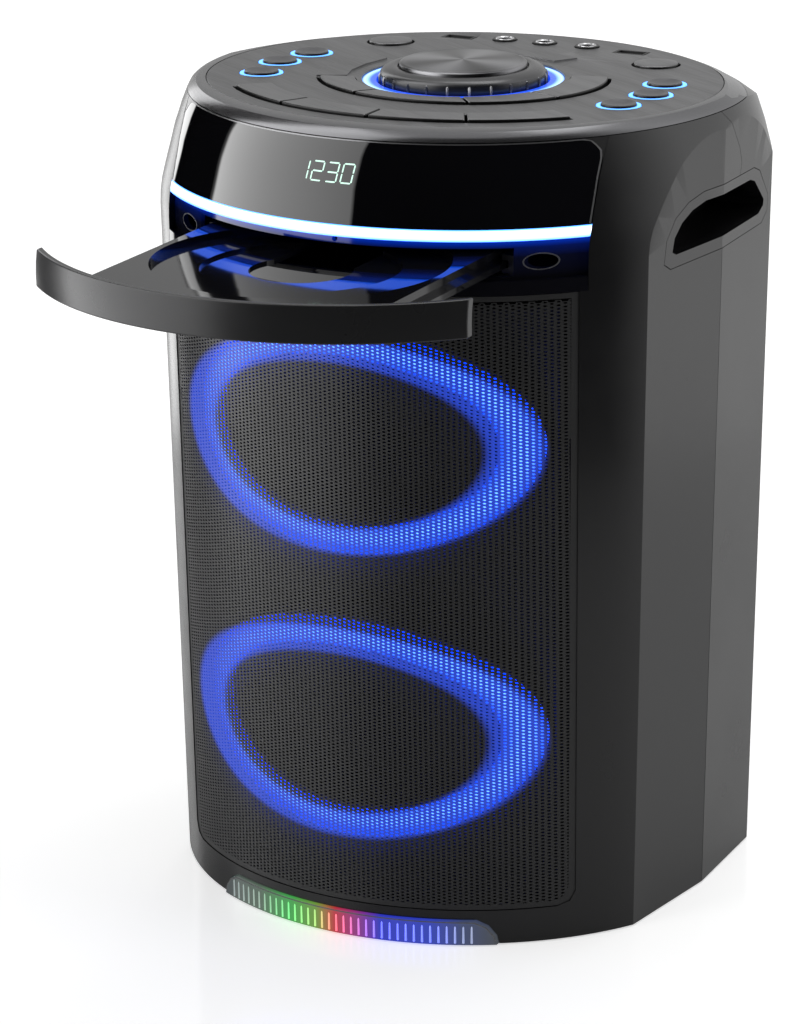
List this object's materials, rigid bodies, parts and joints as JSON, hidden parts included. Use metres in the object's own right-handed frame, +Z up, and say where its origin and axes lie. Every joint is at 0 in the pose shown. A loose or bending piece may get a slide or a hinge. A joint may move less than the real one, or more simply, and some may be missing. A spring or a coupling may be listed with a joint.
{
  "type": "karaoke machine with disc tray",
  "caption": "Barrel-shaped karaoke speaker with a sliding disc tray, lit oval speaker rings, display window and a round control plate with a large knob and push buttons.",
  "frame": {"origin": "on the floor, at the middle of the flat underside, below the axis of the round front", "axes": "+Z up, -Y towards the front with the disc tray and the grille, +X to the viewer's right when facing the front"},
  "size_m": [0.2454, 0.3492, 0.3546],
  "materials": {
    "front_shell": "satin",
    "rear_cover": "satin",
    "top_rim": "satin",
    "top_deck": "matte",
    "control_plate": "brushed, dark",
    "display_window": "gloss",
    "display_module": "matte",
    "light_strip": "lit, white with a blue edge",
    "tray_bay": "gloss",
    "speaker_grille": "perforated, satin",
    "baffle": "matte",
    "upper_ring_light": "lit blue",
    "lower_ring_light": "lit blue",
    "upper_speaker": "satin",
    "lower_speaker": "satin",
    "upper_cone": "matte paper",
    "lower_cone": "matte paper",
    "base_plate": "matte",
    "rubber_feet": "matte",
    "base_lens": "clear, ribbed",
    "base_light_board": "matte",
    "left_handle": "satin",
    "right_handle": "satin",
    "control_board": "satin",
    "knob_ring_light": "lit blue",
    "button_light_rings": "lit blue",
    "microphone_jacks": "turned",
    "usb_sockets": "plain",
    "disc_chassis": "matte",
    "loading_motor": "plain",
    "loading_belt": "matte",
    "amplifier_board": "satin",
    "power_inlet": "matte",
    "case_screws": "plain",
    "disc_tray": "gloss",
    "tray_front": "gloss",
    "drive_gear": "satin",
    "motor_pulley": "turned",
    "turntable": "matte",
    "optical_sled": "satin",
    "disc_clamp": "matte",
    "volume_knob": "satin",
    "knob_cap": "turned, dark",
    "lit_button_left_rear": "satin, dark",
    "lit_button_left_middle": "satin, dark",
    "lit_button_left_front": "satin, dark",
    "lit_button_right_rear": "satin, dark",
    "lit_button_right_middle": "satin, dark",
    "lit_button_right_front": "satin, dark",
    "round_button_left": "satin, dark",
    "round_button_right": "satin, dark",
    "outer_key_1": "satin, dark",
    "outer_key_2": "satin, dark",
    "outer_key_3": "satin, dark",
    "outer_key_4": "satin, dark",
    "inner_key_1": "satin, dark",
    "inner_key_2": "satin, dark",
    "inner_key_3": "satin, dark",
    "inner_key_4": "satin, dark"
  },
  "bodies": {
    "cabinet": {"front_shell": "front_shell", "rear_cover": "rear_cover", "top_rim": "top_rim", "top_deck": "top_deck", "control_plate": "control_plate", "display_window": "display_window", "display_module": "display_module", "light_strip": "light_strip", "tray_bay": "tray_bay", "speaker_grille": "speaker_grille", "baffle": "baffle", "upper_ring_light": "upper_ring_light", "lower_ring_light": "lower_ring_light", "upper_speaker": "upper_speaker", "lower_speaker": "lower_speaker", "upper_cone": "upper_cone", "lower_cone": "lower_cone", "base_plate": "base_plate", "rubber_feet": "rubber_feet", "base_lens": "base_lens", "base_light_board": "base_light_board", "left_handle": "left_handle", "right_handle": "right_handle", "control_board": "control_board", "knob_ring_light": "knob_ring_light", "button_light_rings": "button_light_rings", "microphone_jacks": "microphone_jacks", "usb_sockets": "usb_sockets", "disc_chassis": "disc_chassis", "loading_motor": "loading_motor", "loading_belt": "loading_belt", "amplifier_board": "amplifier_board", "power_inlet": "power_inlet", "case_screws": "case_screws"},
    "disc_tray": {"disc_tray": "disc_tray", "tray_front": "tray_front"},
    "drive_gear": {"drive_gear": "drive_gear"},
    "motor_pulley": {"motor_pulley": "motor_pulley"},
    "turntable": {"turntable": "turntable"},
    "optical_sled": {"optical_sled": "optical_sled"},
    "disc_clamp": {"disc_clamp": "disc_clamp"},
    "volume_knob": {"volume_knob": "volume_knob", "knob_cap": "knob_cap"},
    "lit_button_left_rear": {"lit_button_left_rear": "lit_button_left_rear"},
    "lit_button_left_middle": {"lit_button_left_middle": "lit_button_left_middle"},
    "lit_button_left_front": {"lit_button_left_front": "lit_button_left_front"},
    "lit_button_right_rear": {"lit_button_right_rear": "lit_button_right_rear"},
    "lit_button_right_middle": {"lit_button_right_middle": "lit_button_right_middle"},
    "lit_button_right_front": {"lit_button_right_front": "lit_button_right_front"},
    "round_button_left": {"round_button_left": "round_button_left"},
    "round_button_right": {"round_button_right": "round_button_right"},
    "outer_key_1": {"outer_key_1": "outer_key_1"},
    "outer_key_2": {"outer_key_2": "outer_key_2"},
    "outer_key_3": {"outer_key_3": "outer_key_3"},
    "outer_key_4": {"outer_key_4": "outer_key_4"},
    "inner_key_1": {"inner_key_1": "inner_key_1"},
    "inner_key_2": {"inner_key_2": "inner_key_2"},
    "inner_key_3": {"inner_key_3": "inner_key_3"},
    "inner_key_4": {"inner_key_4": "inner_key_4"}
  },
  "joints": [
    {"name": "tray_slide", "type": "slide", "parent": "cabinet", "child": "disc_tray", "axis": [0, 1, 0], "range_m": [-0.041, 0.107]},
    {"name": "drive_gear_turn", "type": "hinge", "parent": "cabinet", "child": "drive_gear", "pos_m": [0.041, -0.084, 0.29], "axis": [0, 0, 1], "range_deg": [-196, 511.5]},
    {"name": "motor_pulley_turn", "type": "hinge", "parent": "cabinet", "child": "motor_pulley", "pos_m": [0.041, -0.046, 0.287], "axis": [0, 0, 1], "range_deg": [-760, 1975]},
    {"name": "turntable_turn", "type": "hinge", "parent": "cabinet", "child": "turntable", "pos_m": [0, -0.047, 0.289], "axis": [0, 0, 1], "continuous": true},
    {"name": "clamp_turn", "type": "hinge", "parent": "cabinet", "child": "disc_clamp", "pos_m": [0, -0.047, 0.304], "axis": [0, 0, 1], "continuous": true},
    {"name": "sled_slide", "type": "slide", "parent": "cabinet", "child": "optical_sled", "axis": [0, 1, 0], "range_m": [0, 0.032]},
    {"name": "volume_turn", "type": "hinge", "parent": "cabinet", "child": "volume_knob", "pos_m": [0, -0.006, 0.347], "axis": [0, 0, 1], "continuous": true},
    {"name": "lit_button_left_rear_press", "type": "slide", "parent": "cabinet", "child": "lit_button_left_rear", "axis": [0, 0, -1], "range_m": [0, 0.0008], "stiffness_N_per_m": 1500, "springref_m": -0.0008},
    {"name": "lit_button_left_middle_press", "type": "slide", "parent": "cabinet", "child": "lit_button_left_middle", "axis": [0, 0, -1], "range_m": [0, 0.0008], "stiffness_N_per_m": 1500, "springref_m": -0.0008},
    {"name": "lit_button_left_front_press", "type": "slide", "parent": "cabinet", "child": "lit_button_left_front", "axis": [0, 0, -1], "range_m": [0, 0.0008], "stiffness_N_per_m": 1500, "springref_m": -0.0008},
    {"name": "lit_button_right_rear_press", "type": "slide", "parent": "cabinet", "child": "lit_button_right_rear", "axis": [0, 0, -1], "range_m": [0, 0.0008], "stiffness_N_per_m": 1500, "springref_m": -0.0008},
    {"name": "lit_button_right_middle_press", "type": "slide", "parent": "cabinet", "child": "lit_button_right_middle", "axis": [0, 0, -1], "range_m": [0, 0.0008], "stiffness_N_per_m": 1500, "springref_m": -0.0008},
    {"name": "lit_button_right_front_press", "type": "slide", "parent": "cabinet", "child": "lit_button_right_front", "axis": [0, 0, -1], "range_m": [0, 0.0008], "stiffness_N_per_m": 1500, "springref_m": -0.0008},
    {"name": "round_button_left_press", "type": "slide", "parent": "cabinet", "child": "round_button_left", "axis": [0, 0, -1], "range_m": [0, 0.0008], "stiffness_N_per_m": 1800, "springref_m": -0.0008},
    {"name": "round_button_right_press", "type": "slide", "parent": "cabinet", "child": "round_button_right", "axis": [0, 0, -1], "range_m": [0, 0.0008], "stiffness_N_per_m": 1800, "springref_m": -0.0008},
    {"name": "outer_key_1_press", "type": "slide", "parent": "cabinet", "child": "outer_key_1", "axis": [0, 0, -1], "range_m": [0, 0.0008], "stiffness_N_per_m": 1800, "springref_m": -0.0008},
    {"name": "outer_key_2_press", "type": "slide", "parent": "cabinet", "child": "outer_key_2", "axis": [0, 0, -1], "range_m": [0, 0.0008], "stiffness_N_per_m": 1800, "springref_m": -0.0008},
    {"name": "outer_key_3_press", "type": "slide", "parent": "cabinet", "child": "outer_key_3", "axis": [0, 0, -1], "range_m": [0, 0.0008], "stiffness_N_per_m": 1800, "springref_m": -0.0008},
    {"name": "outer_key_4_press", "type": "slide", "parent": "cabinet", "child": "outer_key_4", "axis": [0, 0, -1], "range_m": [0, 0.0008], "stiffness_N_per_m": 1800, "springref_m": -0.0008},
    {"name": "inner_key_1_press", "type": "slide", "parent": "cabinet", "child": "inner_key_1", "axis": [0, 0, -1], "range_m": [0, 0.0008], "stiffness_N_per_m": 1800, "springref_m": -0.0008},
    {"name": "inner_key_2_press", "type": "slide", "parent": "cabinet", "child": "inner_key_2", "axis": [0, 0, -1], "range_m": [0, 0.0008], "stiffness_N_per_m": 1800, "springref_m": -0.0008},
    {"name": "inner_key_3_press", "type": "slide", "parent": "cabinet", "child": "inner_key_3", "axis": [0, 0, -1], "range_m": [0, 0.0008], "stiffness_N_per_m": 1800, "springref_m": -0.0008},
    {"name": "inner_key_4_press", "type": "slide", "parent": "cabinet", "child": "inner_key_4", "axis": [0, 0, -1], "range_m": [0, 0.0008], "stiffness_N_per_m": 1800, "springref_m": -0.0008}
  ],
  "couplings": [
    {"joint": "drive_gear_turn", "follows": "tray_slide", "rad_per_m": 83.333},
    {"joint": "motor_pulley_turn", "follows": "tray_slide", "rad_per_m": 321.18},
    {"joint": "clamp_turn", "follows": "turntable_turn", "ratio": 1}
  ]
}
